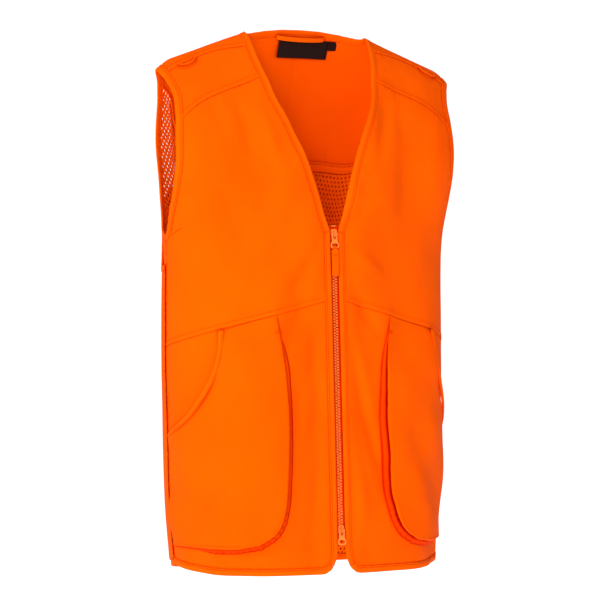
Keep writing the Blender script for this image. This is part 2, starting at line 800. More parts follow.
def math_node(nodes, links, operation, first, second):
    node = nodes.new("ShaderNodeMath")
    node.operation = operation
    for socket, value in zip(node.inputs, (first, second)):
        if isinstance(value, (int, float)):
            socket.default_value = value
        else:
            links.new(value, socket)
    return node.outputs[0]


def crevices(nodes, links, colour, shader, deep, reach, depth):
    """A strong orange turns deep red where its own light is bounced between close folds."""
    near = nodes.new("ShaderNodeAmbientOcclusion")
    near.samples = 6
    near.inputs["Distance"].default_value = reach
    openness = math_node(nodes, links, "POWER", near.outputs["AO"], depth)
    mix = nodes.new("ShaderNodeMix")
    mix.data_type = "RGBA"
    links.new(openness, mix.inputs["Factor"])
    mix.inputs["A"].default_value = (*deep, 1)
    links.new(colour, mix.inputs["B"])
    links.new(mix.outputs["Result"], shader.inputs["Base Color"])


def woven(
    name, light, dark, thread, roughness=0.85, sheen=0.25, ribs=1.0, deep=DEEP, reach=CREVICE, depth=1.5
):
    """Plain-weave cloth: threads of a given width, slubs, and slow changes of shade."""
    made, nodes, links, shader = node_material(name)
    place = nodes.new("ShaderNodeTexCoord")
    split = nodes.new("ShaderNodeSeparateXYZ")
    links.new(place.outputs["UV"], split.inputs[0])
    threads = []
    for axis in ("X", "Y"):
        turns = math_node(nodes, links, "MULTIPLY", split.outputs[axis], math.pi / thread)
        threads.append(math_node(nodes, links, "SINE", turns, 0.0))
    product = math_node(nodes, links, "MULTIPLY", threads[0], threads[1])
    ridge = math_node(nodes, links, "MULTIPLY", threads[1], ribs - 1.0)
    height = math_node(nodes, links, "ADD", product, ridge)
    slub = noise_node(nodes, links, place.outputs["UV"], SLUB_SCALE, 3.0)
    rough_height = math_node(nodes, links, "ADD", height, slub)
    bumpy(nodes, links, shader, rough_height, WEAVE_BUMP, thread * 0.5)
    tone = noise_node(nodes, links, place.outputs["Object"], TONE_SCALE, 4.0)
    shade = math_node(nodes, links, "MULTIPLY", height, 0.10)
    mixing = math_node(nodes, links, "ADD", tone, shade)
    colour = ramp_node(nodes, links, mixing, dark, light, (0.30, 0.70))
    crevices(nodes, links, colour, shader, deep, reach, depth)
    shader.inputs["Roughness"].default_value = roughness
    shader.inputs["Sheen Weight"].default_value = sheen
    shader.inputs["Sheen Roughness"].default_value = 0.5
    shader.inputs["Sheen Tint"].default_value = (1.0, 0.20, 0.0, 1)
    shader.inputs["Specular IOR Level"].default_value = 0.10
    shader.inputs["Specular Tint"].default_value = (1.0, 0.18, 0.0, 1)
    return made


def moulded(name, light, dark, roughness):
    """Moulded plastic with a faint mottle and a slightly uneven gloss."""
    made, nodes, links, shader = node_material(name)
    place = nodes.new("ShaderNodeTexCoord")
    mottle = noise_node(nodes, links, place.outputs["Object"], MOTTLE_SCALE, 3.0)
    colour = ramp_node(nodes, links, mottle, dark, light)
    crevices(nodes, links, colour, shader, DEEP_PLASTIC, CREVICE / 4, 1.0)
    gloss = math_node(nodes, links, "MULTIPLY", mottle, 0.25)
    links.new(math_node(nodes, links, "ADD", gloss, roughness), shader.inputs["Roughness"])
    bumpy(nodes, links, shader, mottle, *MOTTLE_BUMP)
    return made


orange = woven(
    "orange_cloth_weave", (0.95, 0.099, 0.0001), (0.91, 0.084, 0.0), 0.00045,
    sheen=0.03, reach=0.007, depth=1.2,
)
fold_orange = woven(
    "orange_folded_weave", (0.90, 0.064, 0.0), (0.85, 0.050, 0.0), 0.00045,
    sheen=0.0, reach=0.024, depth=3.0,
)
tape_orange = woven(
    "orange_tape_weave", (0.96, 0.108, 0.0003), (0.93, 0.092, 0.0002), 0.0006, sheen=0.1, ribs=1.4
)
net_orange = woven(
    "orange_net_knit", (0.97, 0.118, 0.0002), (0.93, 0.100, 0.0001), 0.0007,
    roughness=0.7, sheen=0.03, reach=0.003,
)
thread_orange = woven(
    "orange_thread", (0.96, 0.115, 0.0006), (0.92, 0.085, 0.0003), 0.0003, roughness=0.6, sheen=0.1
)
zip_tape_weave = woven(
    "zip_tape_weave", (0.80, 0.034, 0.0002), (0.70, 0.024, 0.0001), 0.0005, sheen=0.05, ribs=1.8
)
salmon = moulded("zip_plastic_salmon", (1.0, 0.205, 0.012), (0.96, 0.165, 0.008), 0.40)
black_satin = woven(
    "black_satin", (0.016, 0.011, 0.011), (0.009, 0.006, 0.006), 0.00025,
    0.5, sheen=0.0, ribs=2.5, deep=NEAR_BLACK,
)
black_satin.node_tree.nodes["Principled BSDF"].inputs["Sheen Tint"].default_value = (1, 1, 1, 1)
black_thread = woven(
    "black_thread", (0.024, 0.019, 0.019), (0.014, 0.011, 0.011), 0.0003,
    0.6, sheen=0.0, deep=NEAR_BLACK,
)

SIDES = (("l", 1, unchanged), ("r", -1, mirrored))


# ---- the shell ----
def front_panels(side, flip):
    lower = coons(
        lines.edge_part(0, 1)[::-1], lines.waist, lines.edge_part(1, 2), lines.side_low
    )
    outer = chain(lines.side_high, lines.arm_part(0, 1))
    chest = coons(lines.waist, lines.yoke, lines.edge_part(2, 4), outer)
    yoke = coons(lines.yoke, lines.forward, lines.edge_part(4, 5), lines.arm_part(1, 2))
    made = []
    for name, node, patch, bottom, right in (
        ("lower_front", "front_lower", lower, tucked, lying_under),
        ("chest", "front_chest", chest, lapped, tucked),
        ("yoke_front", "front_yoke", yoke, lapped, tucked),
    ):
        rules = {"bottom": bottom, "top": lying_under, "left": tucked, "right": right}
        piece = cloth(f"{name}_{side}", [flip(patch)], orange, [borders(patch, rules)])
        made.append(on(piece, "shell", "orange_cloth", f"{node}_{side}"))
    return made


def back_yoke():
    split = lines.edge_in[lines.marks[6]]
    inside = straight(split, lines.back_seam_side[0], ACROSS_POINTS)
    inner = chain(lines.edge_part(5, 6), inside)
    t = spaced(run_of(inner)[-1])
    shoulder = coons(lines.forward, lines.back_seam_side, inner, lines.arm_part(2, 3), t=t)
    # The nape patch shares its outer border's points with the shoulder patch.
    cut = run_of(lines.edge_part(5, 6))[-1] / run_of(inner)[-1]
    below = np.concatenate([[0.0], (t[t > cut] - cut) / (1 - cut)])
    centre = straight(lines.edge_in[-1], lines.back_seam_mid[0], ACROSS_POINTS)
    nape = coons(lines.edge_part(6, 7)[::-1], lines.back_seam_mid, centre, inside, t=below)
    nape[:, 0, 0] = 0.0
    lift = borders(shoulder, {"bottom": lapped, "top": lapped, "right": tucked})
    low = borders(nape, {"top": lapped})
    patches = [shoulder, nape, mirrored(shoulder), mirrored(nape)]
    piece = cloth("yoke_back", patches, orange, [lift, low, lift, low])
    return on(piece, "shell", "orange_cloth", "back_yoke")


NET_TUCK = 0.010
NET_TUCK_LIFT = -0.0011
NET_PITCH = (0.0060, 0.0056)
NET_THICKNESS = 0.0007
HOLE = (0.20, 0.25)
HOLE_SPREAD = (0.85, 1.12)
HOLE_TWIST = 0.12
HOLE_DENT = -0.00022
HOLE_TURNS = np.radians([225, 270, 315, 0, 45, 90, 135, 180])


def net_back():
    """The mesh back: a knitted net with a real hole in every cell, each row shifted by half a cell."""
    centre = straight(lines.back_seam_mid[0], lines.back_hem_in[0], ACROSS_POINTS)
    side = straight(lines.arm_in[-1], lines.back_hem_in[-1], ACROSS_POINTS)
    outer = chain(lines.arm_part(3, 4), side)
    across = int(run_of(lines.back_seam)[-1] / NET_PITCH[0])
    down = int(run_of(centre)[-1] / NET_PITCH[1])
    s, t = np.linspace(0, 1, 2 * across + 1), np.linspace(0, 1, 2 * down + 1)
    half = coons(lines.back_seam, lines.back_hem_in, centre, outer, s, t)
    whole = np.concatenate([mirrored(half[:, :0:-1]), half], axis=1)
    columns = whole.shape[1]
    at = lambda row, column: row * columns + column
    faces, holes = [], []
    for cell_row in range(down):
        low, middle, high = 2 * cell_row, 2 * cell_row + 1, 2 * cell_row + 2
        first = cell_row % 2
        for left in range(first, columns - 2, 2):
            ring = [at(low, left), at(low, left + 1), at(low, left + 2), at(middle, left + 2)]
            ring += [at(high, left + 2), at(high, left + 1), at(high, left), at(middle, left)]
            holes.append((middle, left + 1, ring))
        if first:
            for left in (0, columns - 2):
                for above, under in ((low, middle), (middle, high)):
                    upper, lower = (at(above, left), at(above, left + 1)), at(under, left + 1)
                    faces.append((*upper, lower, at(under, left)))
    # The first row goes up under the yoke's edge.
    whole[0, :, 1] -= NET_TUCK
    flat = whole.reshape(-1, 2)
    rng = np.random.default_rng(21)
    places = [flat]
    lifts = [np.where(np.arange(len(flat)) < columns, NET_TUCK_LIFT, 0.0)]
    start = len(flat)
    for row, column, ring in holes:
        here = whole[row, column]
        wide = (whole[row, column + 1] - whole[row, column - 1]) * HOLE[0]
        wide *= rng.uniform(*HOLE_SPREAD)
        tall = (whole[row + 1, column] - whole[row - 1, column]) * HOLE[1]
        tall *= rng.uniform(*HOLE_SPREAD)
        turn = HOLE_TURNS + rng.uniform(-HOLE_TWIST, HOLE_TWIST)
        places.append(here + np.cos(turn)[:, None] * wide + np.sin(turn)[:, None] * tall)
        lifts.append(np.full(8, HOLE_DENT))
        for j in range(8):
            k = (j + 1) % 8
            faces.append((ring[j], ring[k], start + k, start + j))
        start += 8
    patch = np.vstack(places)
    used, faces = np.unique(np.array(faces), return_inverse=True)
    points = surface(patch, np.concatenate(lifts))[used]
    faces = faces.reshape(-1, 4)
    piece = finish_mesh("net_back", points, faces, net_orange, weave_place(patch)[used])
    thicken(piece, NET_THICKNESS)
    return on(piece, "shell", "orange_mesh", "back_mesh")


def both_ways(line):
    """The line from the right side, over the centre, to the left side."""
    return chain(mirrored(line)[::-1], line)


def game_pocket():
    turns = np.linspace(0, SIDE, 120)
    fall = GAME_POCKET_FALL * (turns / turns[-1] / GAME_POCKET_TURN) ** GAME_POCKET_BEND
    top = np.stack([turns, np.minimum(GAME_POCKET_TOP + fall, GAME_POCKET_SIDE)], axis=1)
    panel_top = top + np.array([0, BINDING_WIDTH / CHEST_HEIGHT])
    bottom = lines.back_hem_in
    centre, side = (straight(panel_top[k], bottom[k], ACROSS_POINTS) for k in (0, -1))
    panel = coons(panel_top, bottom, centre, side)
    panel[:, 0, 0] = 0.0
    height = body(panel[..., 0], panel[..., 1])[..., 2]
    across = np.cos(np.clip(panel[..., 0], 0, SIDE))
    upright = np.sin(np.clip(height / GAME_POCKET_TALL, 0, 1) * math.pi) ** 0.7
    edges = borders(panel, {"bottom": tucked, "right": lying_under, "top": tucked})
    lift = LAYER + GAME_POCKET_FULL * across * upright + edges
    piece = cloth("game_pocket_cloth", [panel, mirrored(panel)], orange, [lift, lift])
    on(piece, "shell", "orange_cloth", "game_pocket")
    top, panel_top = both_ways(top), both_ways(panel_top)
    edge = binding("game_pocket_edge", top, panel_top, lift=LAYER + 0.0002, seed=2.0)
    on(edge, "shell", "orange_cloth", "game_pocket_binding")
    return piece, edge


def seam_tape():
    """The bound tape that covers the back yoke's seam inside."""
    line = both_ways(lines.back_seam[:-12])
    low = line + np.array([0, SEAM_TAPE_WIDTH])
    s, t = np.linspace(0, 1, 150), np.linspace(0, 1, 8)
    down = t[:, None, None]
    patch = at_share(line, s)[None] * (1 - down) + at_share(low, s)[None] * down
    bow = SEAM_TAPE_BOW * np.sin(t * math.pi)[:, None] * np.ones(len(s))
    piece = cloth("yoke_seam_tape", [patch], tape_orange, [-LAYER - bow], TAPE_THICKNESS)
    return on(piece, "shell", "orange_cloth", "back_seam_tape")


def allowance(name, line, flip):
    """The turned edges of two panels, lying flat behind their seam."""
    base = at_share(line, np.linspace(0, 1, max(int(run_of(line)[-1] / 0.004), 4)))
    shifts = np.linspace(-ALLOWANCE_HALF, ALLOWANCE_HALF, 5)
    patch = np.stack([offset(base, shift) for shift in shifts])
    lift = np.full(patch.shape[:2], ALLOWANCE_LIFT)
    piece = cloth(name, [flip(patch)], orange, [lift], TAPE_THICKNESS)
    return on(piece, "shell", "orange_cloth")


def shell_bindings():
    made = {}

    def bind(key, name, node, edge, edge_in, **how):
        piece = binding(name, edge, edge_in, **how)
        made[key] = on(piece, "shell", "orange_cloth", node)

    def out_and_back(line):
        return chain(line, mirrored(line)[::-1])

    neck, neck_in = (out_and_back(lines.edge_part(3, 7, inside)) for inside in (False, True))
    bind("neck", "neck_edge", "neck_binding", neck, neck_in)
    front, front_in = (lines.edge_part(1, 3, inside) for inside in (False, True))
    for side, sign, flip in SIDES:
        names = ("front_" + side, f"front_edge_{side}", f"front_edge_binding_{side}")
        bind(*names, front, front_in, flip=flip, seed=sign)
        names = ("arm_" + side, f"armhole_edge_{side}", f"armhole_binding_{side}")
        bind(*names, lines.arm, lines.arm_in, flip=flip, seed=2 * sign)
    half = chain(lines.edge_part(0, 1, inside=False)[::-1], lines.back_hem[::-1])
    half_in = chain(lines.edge_part(0, 1)[::-1], lines.back_hem_in[::-1])
    hem, hem_in = out_and_back(half)[:-1], out_and_back(half_in)[:-1]
    bind("hem", "hem_edge", "hem_binding", hem, hem_in)
    return made


SEAM_STITCH_LIFT = 0.0011
EDGE_STITCH_LIFT = 0.0010


def shell_stitches():
    rows = []
    up = BINDING_WIDTH * 0.80
    seams = (lines.waist[3:-2], lines.yoke[3:-3], lines.forward[3:-3], lines.back_seam[:-3])
    sewn = [(offset(seam, TOPSTITCH_IN), SEAM_STITCH_LIFT) for seam in seams]
    edges = [offset(lines.edge, -up)[2:-2], offset(lines.arm, up)[2:-2]]
    edges.append(lines.back_hem - np.array([0, up / CHEST_HEIGHT]))
    sewn += [(edge, EDGE_STITCH_LIFT) for edge in edges]
    for _, _, flip in SIDES:
        rows += [stitch_row(line, lift, flip) for line, lift in sewn]
    return on(stitching("stitching_shell", rows, thread_orange), "shell", "orange_cloth")


# ---- the bellows pockets ----
GUSSET_OUT = 0.0046
# The bellows in section: (distance out from the face's edge, share of the face's lift, rise).
GUSSET_SECTION = (
    (GUSSET_OUT + 0.0020, 0.0, 0.0000), (GUSSET_OUT, 0.0, 0.0009), (0.0064, 0.06, 0.0012),
    (0.0040, 0.18, 0.0012), (0.0016, 0.32, 0.0008), (0.0000, 0.40, 0.0004), (-0.0012, 0.39, 0.0),
    (-0.0050, 0.30, 0.0), (-0.0082, 0.34, 0.0), (-0.0080, 0.46, 0.0), (-0.0062, 0.64, 0.0),
    (-0.0036, 0.82, 0.0), (-0.0014, 0.94, -0.0003), (-0.0006, 1.0, -0.0011),
)
GUSSET_STITCH_LIFT = 0.0016
PLEATS_BELOW = 0.100
PLEAT_PITCH = 0.0085
FACE_STITCH_IN = 0.0038
TACK_THREADS = 15
TACK_HALF_HEIGHT = 0.0009
TACK_SHIFT = 0.002
TACK_LEAN = 0.0004


class Pocket:
    """One bellows pocket: face, bound hand opening, pleated gusset, stitching and bar tacks."""

    def __init__(self, side, sign, flip):
        self.side, self.sign, self.flip = side, sign, flip
        self.body = "pocket_" + side
        self.side_angle = SIDE - SIDE_CLEAR
        corner = spline(at_distances(POCKET_CORNER[2:]))
        low = straight(corner[-1], (self.side_angle, front_level(POCKET_BOTTOM)), SPLINE_STEPS)
        hand = at_distances(POCKET_HAND) + [(self.side_angle, front_level(POCKET_HAND_LOW))]
        self.inner = smooth_line(at_distances(POCKET_INNER + POCKET_CORNER[1:3]), LINE_POINTS)
        self.bottom = evenly(chain(corner, low), LINE_POINTS // 2)
        self.hand = smooth_line(hand, LINE_POINTS // 2)
        self.hand_in = offset(self.hand, -HAND_BINDING)
        self.hand_in[0, 1] = self.hand[0, 1]
        self.hand_in[-1, 0] = self.side_angle
        self.stitches = []

    def height(self, patch):
        return (patch[..., 1] + 1) * CHEST_HEIGHT

    def lift(self, patch):
        """How far the face stands off: flat at its seams, full towards its inner lower corner."""
        span = self.side_angle - self.inner[:, 0].min()
        share = np.clip((SIDE - patch[..., 0]) / span, 0, 1)
        drop = np.clip((FULL_FROM - self.height(patch)) / FULL_OVER, 0, 1)
        fullness = smooth((share - FULL_TURN_FROM) / FULL_TURN_OVER) * drop**FULL_BEND
        sewn = smooth((share - 0.55) / 0.3) * smooth((self.height(patch) - 0.30) / 0.02)
        flat = POCKET_FLAT - 0.0016 * sewn - 0.0016 * (1 - smooth(share / 0.34))
        return flat + (POCKET_FULL - POCKET_FLAT) * fullness

    def follow(self, obj):
        """The piece bends from the panel at its top to the pocket's own body lower down."""
        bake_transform(obj)
        return obj

    def face(self):
        top = chain(straight(self.inner[0], self.hand_in[0], 80), self.hand_in)
        right = straight(self.bottom[-1], self.hand_in[-1], 60)
        patch = coons(self.bottom, top, self.inner[::-1], right)
        points = body(patch[..., 0], patch[..., 1])
        up, across = running(points, 0), running(points, 1)
        from_edge = np.minimum(up, across)
        under_seam = np.clip(waist_height(patch[..., 0]) - self.height(patch), 0, 1)
        at_seam = bell(under_seam, 0.007)
        roll = 0.0004 * bell(from_edge - 0.0022, 0.0016) - 0.0022 * bell(from_edge, 0.0012)
        groove = -0.0004 * bell(from_edge - FACE_STITCH_IN, 0.0006)
        sag = 0.0016 * waves(points * np.array([1.0, 1.0, 0.75]), POCKET_WAVES)
        sag *= smooth(from_edge / 0.03) * smooth(under_seam / 0.04)
        lift = (self.lift(patch) + roll + groove + sag) * (1 - at_seam) + LAP * at_seam
        lift += pucker(across, up, 0.00028) + pucker(up, across, 0.0004)
        made = cloth(f"pocket_cloth_{self.side}", [self.flip(patch)], orange, [lift])
        self.follow(made)
        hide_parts(f"pocket_face_{self.side}")
        edge = chain(self.inner, self.bottom[1:-2])
        inside = offset(edge, FACE_STITCH_IN)[1:]
        self.stitches.append((inside, self.lift(inside) + 0.0004))
        return made

    def hand_edge(self):
        name = f"pocket_hand_edge_{self.side}"
        lift = self.lift(self.hand_in) + 0.0004
        made = binding(name, self.hand, self.hand_in, lift, 0.0026, self.flip, 4.0)
        self.follow(made)
        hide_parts(f"pocket_binding_{self.side}")
        row = self.hand * 0.22 + self.hand_in * 0.78
        self.stitches.append((row[1:-1], self.lift(row[1:-1]) + 0.0014))
        return made

    def gusset(self):
        """The folded bellows strip from the panel to the face, pleated round the lower corner."""
        path = evenly(chain(self.inner, self.bottom[1:-1]), 260)[2:-3]
        edge_lift = self.lift(path)
        deep = smooth((edge_lift - 0.0026) / 0.0070)
        run = run_of(path)
        pleated = smooth((PLEATS_BELOW - self.height(path)) / 0.02)
        pleat = pleated * (np.abs(((run / PLEAT_PITCH) % 1.0) * 2 - 1) - 0.5)
        columns, lifts = [], []
        for step, (out, share, rise) in enumerate(GUSSET_SECTION):
            bow = math.sin(math.pi * step / (len(GUSSET_SECTION) - 1))
            columns.append(offset(path, -(out * deep + 0.00192 * pleat * bow)))
            wave = 0.0016 * pleat * bow + 0.0003 * bow * np.sin(run * 190 + step * 0.4)
            lifts.append(edge_lift * share + rise * (0.3 + 0.7 * deep) + wave * deep)
        patch = self.flip(np.stack(columns, axis=1))
        lift = np.stack(lifts, axis=1)
        made = cloth(f"pocket_bellows_{self.side}", [patch], fold_orange, [lift], 0.0009)
        points = surface(patch, lift).reshape(-1, 3)
        self.follow(made)
        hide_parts(f"pocket_gusset_{self.side}")
        seam = offset(path, -(GUSSET_OUT - 0.0002) * deep)[6:-2]
        rows = [stitch_row(seam, GUSSET_STITCH_LIFT, self.flip)]
        sewn = stitching(f"pocket_seam_stitches_{self.side}", rows, thread_orange)
        self.seam_stitches = on(sewn, "shell", "orange_cloth")
        return made

    def sew(self):
        rows = [stitch_row(line, lift, self.flip) for line, lift in self.stitches]
        made = stitching(f"pocket_stitches_{self.side}", rows, thread_orange)
        return self.follow(made)

    def tacks(self):
        """Bar tacks: close threads at the top of the bellows and at the top of the hand opening."""
        at_bellows, at_hand = self.inner[12], self.hand_in[1] * 0.6 + self.hand[1] * 0.4
        lift = float(self.lift(at_bellows)) + 0.0012
        rise = np.array([0, TACK_HALF_HEIGHT / CHEST_HEIGHT])
        rings = []
        for place, length in ((at_bellows, 0.0085), (at_hand, 0.008)):
            beside = np.array([1e-4, 0])
            sideways = beside / run_of(np.array([place, place + beside]))[-1]
            for share in np.linspace(-0.5, 0.5, TACK_THREADS):
                x = share * length + TACK_SHIFT
                start = place + sideways * x - rise
                end = place + sideways * (x + TACK_LEAN) + rise
                rings.append(thread_bar(self.flip(start), self.flip(end), lift))
        made = stitching(f"pocket_bar_tacks_{self.side}", [np.array(rings)], thread_orange)
        return on(made, "shell", "orange_cloth", f"pocket_tack_{self.side}")


def thread_bar(start, end, lift):
    """One thread across a bar tack."""
    along = surface(end, lift) - surface(start, lift)
    rings = []
    for share, rise, size in TACK_STITCH:
        place = start * (1 - share) + end * share
        centre = surface(place, lift + rise * THREAD)
        normal = outward(place[0], place[1])
        rings.append(thread_ring(centre, unit(np.cross(normal, along)), normal, THREAD * size))
    return np.array(rings)


# ---- zip: made in its own frame, x across, z up along the zip and -y out of the chest ----
ZIP_TILT = math.atan(FRONT_FLARE)
ZIP_START = 0.4625
CHAIN_LEVEL = 0.0017
CHAIN_THICKNESS = 0.0024
CHAIN_OUTER = 0.0032
CHAIN_TOP = 0.0020
CHAIN_END = 0.4095
TOOTH_PITCH = 0.0037
TOOTH = (0.0029, 0.0021, 0.0023)
TAPE_SPAN = (-0.0010, 0.4170)
TAPE_OUTER = 0.0122
TAPE_HALF = 0.00035
SLIDER_HALF_WIDTH = 0.0046
SLIDER_LENGTH = 0.0110
SLIDER_WALL = 0.0009
RUNNING_GAP = 0.00035
TOP_SLIDER_AT = 0.0075
BOTTOM_SLIDER_AT = 0.4040
PULL_AXIS_OUT = 0.0021
PULL_LENGTH = 0.0200
BRIDGE_TOP = 0.0042


def zip_place(distance, out=0.0):
    height = ZIP_START - distance * math.cos(ZIP_TILT)
    away = Vector((0, -math.cos(ZIP_TILT), math.sin(ZIP_TILT)))
    return Vector((0, FRONT_FLARE * height - HEM_DEPTH, height - NECK_HEIGHT)) + away * out


def zip_frame(distance, out=0.0):
    return Matrix.Translation(zip_place(distance, out)) @ Matrix.Rotation(-ZIP_TILT, 4, "X")


def placed(points, matrix):
    return np.asarray(points, float) @ np.array(matrix.to_3x3()).T + np.array(matrix.translation)


def rounded_box(size, bevel):
    """Points and faces of a box with rounded edges."""
    shape = bmesh.new()
    bmesh.ops.create_cube(shape, size=1.0)
    bmesh.ops.scale(shape, vec=size, verts=shape.verts)
    edges = shape.edges[:]
    bmesh.ops.bevel(
        shape, geom=edges, offset=bevel, offset_type="OFFSET", segments=2, profile=0.6, affect="EDGES"
    )
    shape.verts.ensure_lookup_table()
    points = np.array([v.co for v in shape.verts])
    faces = [[v.index for v in face.verts] for face in shape.faces]
    shape.free()
    return points, faces


def several(name, shapes, looks):
    """One object from several (points, faces)."""
    verts, faces, start = [], [], 0
    for points, own in shapes:
        verts.append(np.asarray(points, float))
        faces += [[start + i for i in face] for face in own]
        start += len(points)
    return finish_mesh(name, np.vstack(verts), faces, looks)


def zip_teeth(side, sign):
    points, faces = rounded_box(TOOTH, 0.00055)
    # The head of a tooth is a little narrower than its root.
    root = (points[:, 0] / TOOTH[0] + 0.5)[:, None]
    points = points * np.array([1, 1, 0.85]) * (1 - root) + points * root
    shapes = []
    count = int((CHAIN_END - CHAIN_TOP) / TOOTH_PITCH)
    for k in range(count):
        down = CHAIN_TOP + (k + (0.25 if sign > 0 else 0.75)) * TOOTH_PITCH
        local = (points + np.array([CHAIN_OUTER - TOOTH[0] / 2, 0, 0])) * np.array([sign, 1, 1])
        shapes.append((placed(local, zip_frame(down, -CHAIN_LEVEL)), turned(faces, sign)))
    made = several(f"zip_teeth_{side}", shapes, salmon)
    return on(made, "shell", "zip_plastic", f"zip_chain_{side}")


def zip_ends(side, sign):
    """The stop at the top of one half and the pin at its bottom."""
    for name, node, low, high, outer in (
        ("zip_stop", "zip_top_stop", -0.0030, -0.0015, 0.0032),
        ("zip_pin", "zip_bottom_pin", 0.4102, 0.4170, 0.0028),
    ):
        points, faces = rounded_box((outer - 0.0004, 0.0024, high - low), 0.0004)
        points = (points + np.array([outer / 2 + 0.0002, 0, 0])) * np.array([sign, 1, 1])
        points = placed(points, zip_frame((low + high) / 2, -CHAIN_LEVEL))
        piece = finish_mesh(f"{name}_{side}", points, turned(faces, sign), salmon)
        on(piece, "shell", "zip_plastic", f"{node}_{side}")


def zip_tape_piece(side, sign):
    """The woven tape of one half, with the thicker corded edge that carries the teeth."""
    rows = np.linspace(*TAPE_SPAN, 140)
    half = TAPE_HALF
    front = (
        (CHAIN_OUTER + 0.0004, 0.00045), (CHAIN_OUTER + 0.0009, 0.0010),
        (CHAIN_OUTER + 0.0015, 0.00085), (CHAIN_OUTER + 0.0020, half), (0.0090, half),
        (TAPE_OUTER, half),
    )
    section = list(front) + [(x, -half) for x, _ in front[::-1]]
    rings, uvs = [], []
    for down in rows:
        ripple = 0.00012 * math.sin(down * 330) + 0.00010 * math.sin(down * 127 + sign)
        local = [
            (sign * x, -out - ripple * min(1, (x - CHAIN_OUTER) / 0.004), 0.0) for x, out in section
        ]
        rings.append(placed(local, zip_frame(down, -CHAIN_LEVEL)))
        uvs.append([(x, down) for x, _ in section])
    verts, faces = loft(rings)
    made = finish_mesh(f"zip_band_{side}", verts, faces, zip_tape_weave, np.reshape(uvs, (-1, 2)))
    return on(made, "shell", "zip_tape", f"zip_tape_{side}")


def softened(points):
    """A closed outline with its corners cut off twice."""
    points = np.asarray(points, float)
    for _ in range(2):
        after = np.roll(points, -1, axis=0)
        pairs = [points * 0.75 + after * 0.25, points * 0.25 + after * 0.75]
        points = np.stack(pairs, axis=1).reshape(-1, 2)
    return points


def with_sharp_edges(name, mesh):
    """An object with this mesh, smooth but for its sharp edges."""
    mesh.shade_smooth()
    mesh.set_sharp_from_angle(angle=SMOOTH_ANGLE)
    return in_scene(name, mesh)


def plate(name, loops, thickness, bevel, matrix):
    """A flat piece with holes and rounded edges, from outlines in its own x and z."""
    curve = bpy.data.curves.new(name, "CURVE")
    curve.dimensions = "2D"
    curve.fill_mode = "BOTH"
    curve.extrude = thickness / 2 - bevel
    curve.bevel_depth = bevel
    curve.bevel_resolution = 2
    curve.offset = -bevel
    for loop in loops:
        line = curve.splines.new("POLY")
        line.points.add(len(loop) - 1)
        for point, (x, z) in zip(line.points, loop):
            point.co = (x, z, 0, 1)
        line.use_cyclic_u = True
    holder = in_scene(name + "_curve", curve)
    graph = bpy.context.evaluated_depsgraph_get()
    mesh = bpy.data.meshes.new_from_object(holder.evaluated_get(graph))
    bpy.data.objects.remove(holder)
    mesh.name = name
    upright = Matrix(((1, 0, 0, 0), (0, 0, -1, 0), (0, 1, 0, 0), (0, 0, 0, 1)))
    mesh.transform(matrix @ upright)
    mesh.materials.clear()
    mesh.materials.append(salmon)
    return with_sharp_edges(name, mesh)


def joined(name, objects):
    """Several objects as one mesh object."""
    shape = bmesh.new()
    for obj in objects:
        shape.from_mesh(obj.data)
    mesh = bpy.data.meshes.new(name)
    shape.to_mesh(mesh)
    shape.free()
    mesh.materials.append(objects[0].data.materials[0])
    for obj in objects:
        bpy.data.objects.remove(obj)
    return with_sharp_edges(name, mesh)


def tube(path, across, wide, thick):
    """Rings of a bar with a rounded-square section along a path; across is its width's direction."""
    turns = np.linspace(0, 2 * math.pi, 10, endpoint=False)
    radius = squared(np.sin(turns), np.cos(turns), 3.0)
    x, y = np.cos(turns) * radius * wide, np.sin(turns) * radius * thick
    rings = []
    for point, direction in zip(path, np.gradient(path, axis=0)):
        normal = unit(np.cross(direction, across))
        rings.append(point + np.outer(x, across) + np.outer(y, normal))
    return rings


